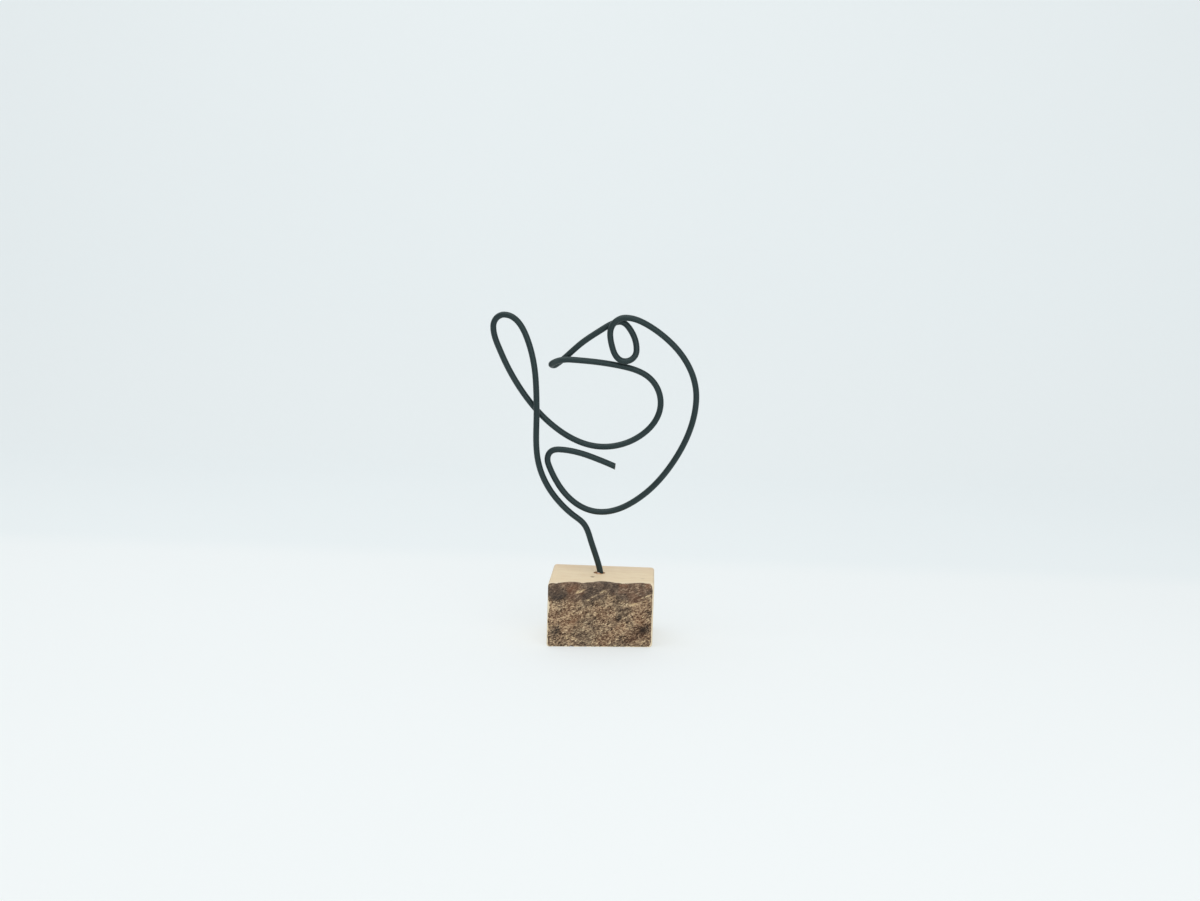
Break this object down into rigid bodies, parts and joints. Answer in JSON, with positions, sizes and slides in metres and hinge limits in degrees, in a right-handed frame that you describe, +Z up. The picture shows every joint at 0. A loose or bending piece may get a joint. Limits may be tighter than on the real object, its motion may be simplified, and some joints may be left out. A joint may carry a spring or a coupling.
{
  "type": "wire sculpture",
  "caption": "Bird drawn in one length of dark round wire, standing in a drilled wooden block that keeps its bark on the front.",
  "frame": {"origin": "on the block's flat underside, halfway between its two sides and at mid depth", "axes": "+Z up, +X to the right of a viewer who faces the bark, -Y out of the bark face; the wire lies near the plane y = 3 mm"},
  "size_m": [0.1012, 0.0429, 0.1568],
  "materials": {
    "black_wire": "satin black all through its dyed skin, with faint draw lines and plier marks at the beak",
    "block_wood": "pale sanded wood, unvarnished, with rough grey-brown bark on the front"
  },
  "bodies": {
    "root": {"wire_bird": "black_wire", "bark_block": "block_wood"}
  },
  "joints": []
}
